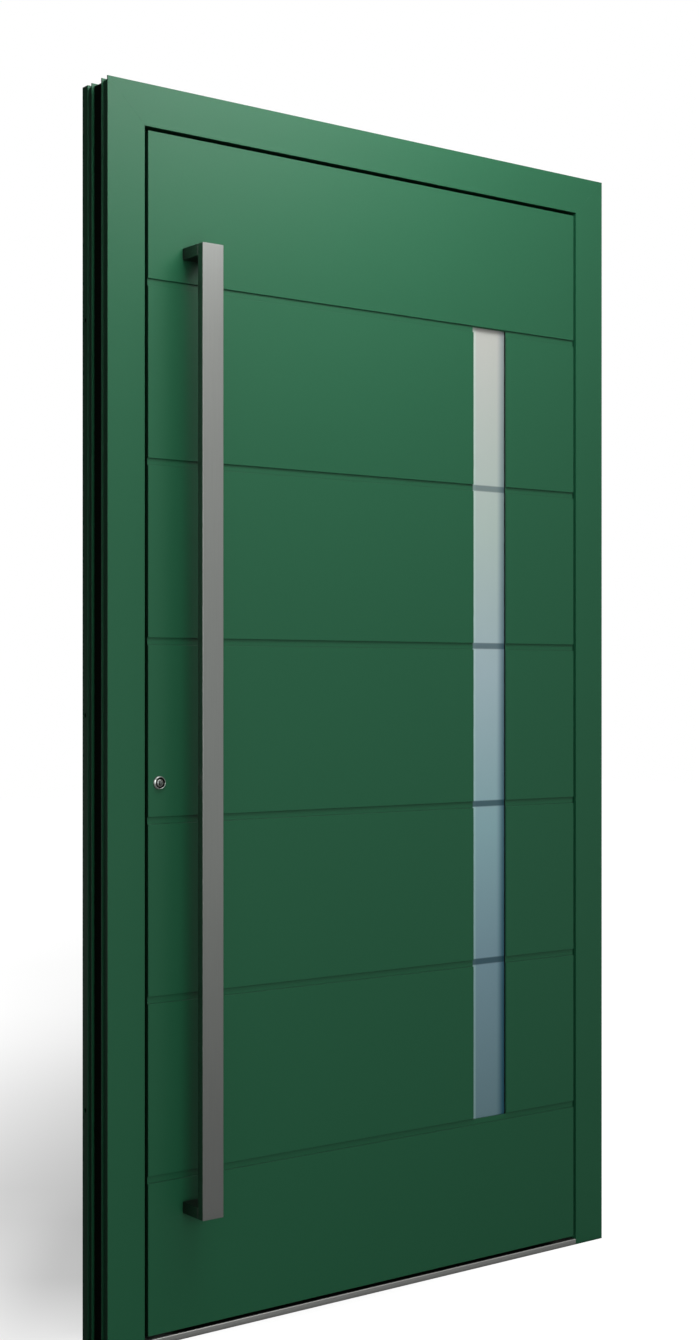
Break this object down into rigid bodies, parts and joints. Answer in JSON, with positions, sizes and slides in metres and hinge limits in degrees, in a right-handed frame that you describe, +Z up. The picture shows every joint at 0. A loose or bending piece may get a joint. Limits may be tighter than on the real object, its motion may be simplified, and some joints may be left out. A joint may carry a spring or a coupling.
{
  "type": "aluminium entrance door",
  "caption": "Flush inward-opening aluminium door in its frame, with a grooved green skin, a frosted glass strip, a long pull bar outside, a lever inside and a low threshold.",
  "frame": {"origin": "middle of the threshold's underside, half way through the frame's depth", "axes": "+X to the right seen from outside, +Y into the building, +Z up"},
  "size_m": [1.15, 0.206, 2.15],
  "materials": {
    "green_powder_coat": "satin",
    "black_polyamide": "matte",
    "black_rubber": "matte",
    "anodised_aluminium": "satin",
    "brushed_stainless": "satin",
    "die_cast_aluminium": "matte",
    "zinc_plated_steel": "satin",
    "nickel_plate": "satin",
    "insulating_foam": "matte",
    "frosted_glass": "satin",
    "clear_glass": "gloss"
  },
  "bodies": {
    "frame": {"jamb_left_outer": "green_powder_coat", "jamb_left_inner": "green_powder_coat", "jamb_left_breaks": "black_polyamide", "jamb_right_outer": "green_powder_coat", "jamb_right_inner": "green_powder_coat", "jamb_right_breaks": "black_polyamide", "head_outer": "green_powder_coat", "head_inner": "green_powder_coat", "head_breaks": "black_polyamide", "frame_cleats": "die_cast_aluminium", "frame_gasket": "black_rubber", "threshold": "anodised_aluminium", "threshold_base": "black_polyamide", "threshold_end_blocks": "black_polyamide", "strike_main": "brushed_stainless", "strikes_pin": "brushed_stainless", "frame_screws": "zinc_plated_steel", "hinge_frame_wings": "anodised_aluminium", "hinge_pins": "zinc_plated_steel"},
    "leaf": {"stile_lock_outer": "green_powder_coat", "stile_lock_inner": "green_powder_coat", "stile_hinge_outer": "green_powder_coat", "stile_hinge_inner": "green_powder_coat", "rail_top_outer": "green_powder_coat", "rail_top_inner": "green_powder_coat", "rail_bottom_outer": "green_powder_coat", "rail_bottom_inner": "green_powder_coat", "leaf_breaks": "black_polyamide", "leaf_cleats": "die_cast_aluminium", "outer_skin": "green_powder_coat", "inner_skin": "green_powder_coat", "foam_core": "insulating_foam", "glass_frosted_pane": "frosted_glass", "glass_clear_panes": "clear_glass", "glass_spacers": "black_polyamide", "glass_seals": "black_rubber", "glazing_frame": "green_powder_coat", "leaf_seals": "black_rubber", "pull_bar": "brushed_stainless", "pull_bar_leg_top": "brushed_stainless", "pull_bar_leg_bottom": "brushed_stainless", "pull_bar_studs": "brushed_stainless", "cylinder_collar": "brushed_stainless", "cylinder_body": "nickel_plate", "lock_faceplate": "brushed_stainless", "lock_case": "zinc_plated_steel", "pin_bolt_cases": "zinc_plated_steel", "handle_plate": "brushed_stainless", "hinge_leaf_wings": "anodised_aluminium", "hinge_bushes": "black_polyamide", "leaf_screws": "zinc_plated_steel"},
    "lever": {"lever_handle": "brushed_stainless", "lever_spindle": "zinc_plated_steel"},
    "latch": {"latch_bolt": "nickel_plate"},
    "lock_turn": {"cylinder_plug": "nickel_plate", "thumbturn": "brushed_stainless"},
    "bolts": {"deadbolt": "nickel_plate", "pin_bolts": "nickel_plate"},
    "rods": {"drive_rods": "zinc_plated_steel"}
  },
  "joints": [
    {"name": "leaf_swing", "type": "hinge", "parent": "frame", "child": "leaf", "pos_m": [0.5225, 0.056, 1.075], "axis": [0, 0, -1], "range_deg": [0, 100]},
    {"name": "lever_press", "type": "hinge", "parent": "leaf", "child": "lever", "pos_m": [-0.474, 0.043, 1.052], "axis": [0, 1, 0], "range_deg": [0, 40], "stiffness_Nm_per_rad": 1.5, "springref_deg": -34.38},
    {"name": "latch_slide", "type": "slide", "parent": "leaf", "child": "latch", "axis": [1, 0, 0], "range_m": [0, 0.012]},
    {"name": "bolts_throw", "type": "slide", "parent": "leaf", "child": "bolts", "axis": [-1, 0, 0], "range_m": [0, 0.02]},
    {"name": "lock_turn", "type": "hinge", "parent": "leaf", "child": "lock_turn", "pos_m": [-0.474, 0.043, 0.96], "axis": [0, -1, 0], "range_deg": [0, 360]},
    {"name": "rods_lift", "type": "slide", "parent": "leaf", "child": "rods", "axis": [0, 0, 1], "range_m": [0, 0.02]}
  ],
  "couplings": [
    {"joint": "latch_slide", "follows": "lever_press", "m_per_rad": 0.01718},
    {"joint": "lock_turn", "follows": "bolts_throw", "rad_per_m": 314.15},
    {"joint": "rods_lift", "follows": "bolts_throw", "ratio": 1}
  ]
}
